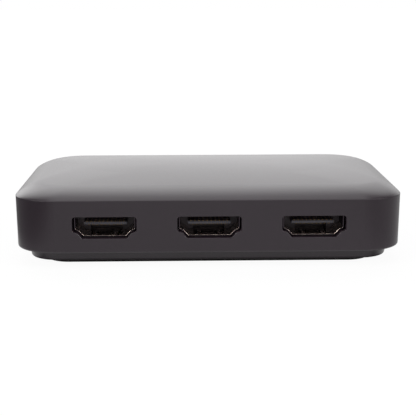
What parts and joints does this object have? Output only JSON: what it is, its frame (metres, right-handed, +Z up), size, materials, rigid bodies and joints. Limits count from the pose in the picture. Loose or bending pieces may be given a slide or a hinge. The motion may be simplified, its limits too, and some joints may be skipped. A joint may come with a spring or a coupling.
{
  "type": "hdmi switch box",
  "caption": "Low rounded switch box with a row of HDMI inputs in one long face; output, power inlet, select button and lights in the other.",
  "frame": {"origin": "centre of the box at the underside of its rubber pad", "axes": "+X along the long faces, to the right when the input sockets face the viewer; -Y out of the input sockets; +Z up"},
  "size_m": [0.0958, 0.0585, 0.0216],
  "materials": {
    "case_plastic": "satin moulded plastic, very dark warm grey",
    "pad_rubber": "matt",
    "board": "solder mask over glass laminate",
    "socket_shell": "pale gold plating",
    "socket_insulator": "moulded, blue-grey",
    "contact_gold": "gold plating",
    "button_plastic": "smooth",
    "switch_plastic": "moulded",
    "switch_metal": "tinned",
    "light_guide_clear": "clear, frosted",
    "led_white": "milky",
    "window_dark": "dark, lets infra-red through",
    "chip_black": "moulded",
    "tinned_lead": "tinned",
    "screw_steel": "zinc plated",
    "ferrite": "matt",
    "capacitor_ceramic": "matt",
    "resistor_ceramic": "matt"
  },
  "bodies": {
    "case": {"base_pad": "pad_rubber", "board_screws": "screw_steel", "bottom_housing": "case_plastic", "capacitors": "capacitor_ceramic", "case_screws": "screw_steel", "control_chip_body": "chip_black", "control_chip_leads": "tinned_lead", "crystal": "tinned_lead", "hdmi_in_1_contacts": "contact_gold", "hdmi_in_1_shell": "socket_shell", "hdmi_in_1_tongue": "socket_insulator", "hdmi_in_2_contacts": "contact_gold", "hdmi_in_2_shell": "socket_shell", "hdmi_in_2_tongue": "socket_insulator", "hdmi_in_3_contacts": "contact_gold", "hdmi_in_3_shell": "socket_shell", "hdmi_in_3_tongue": "socket_insulator", "hdmi_out_contacts": "contact_gold", "hdmi_out_shell": "socket_shell", "hdmi_out_tongue": "socket_insulator", "inductor": "ferrite", "ir_receiver_body": "chip_black", "ir_receiver_leads": "tinned_lead", "ir_window": "window_dark", "light_guide": "light_guide_clear", "main_board": "board", "protection_arrays": "chip_black", "resistors": "resistor_ceramic", "status_led_1": "led_white", "status_led_2": "led_white", "status_led_3": "led_white", "switch_chip_body": "chip_black", "switch_chip_leads": "tinned_lead", "tact_switch_base": "switch_plastic", "tact_switch_dome": "switch_metal", "tact_switch_frame": "switch_metal", "tact_switch_terminals": "tinned_lead", "top_cover": "case_plastic", "usb_power_contacts": "contact_gold", "usb_power_shell": "tinned_lead", "usb_power_tongue": "socket_insulator", "voltage_regulator_body": "chip_black", "voltage_regulator_leads": "tinned_lead"},
    "select_button": {"select_button": "button_plastic", "tact_switch_plunger": "switch_plastic"}
  },
  "joints": [
    {"name": "select_press", "type": "slide", "parent": "case", "child": "select_button", "axis": [0, -1, 0], "range_m": [0, 0.0003], "stiffness_N_per_m": 6400}
  ]
}
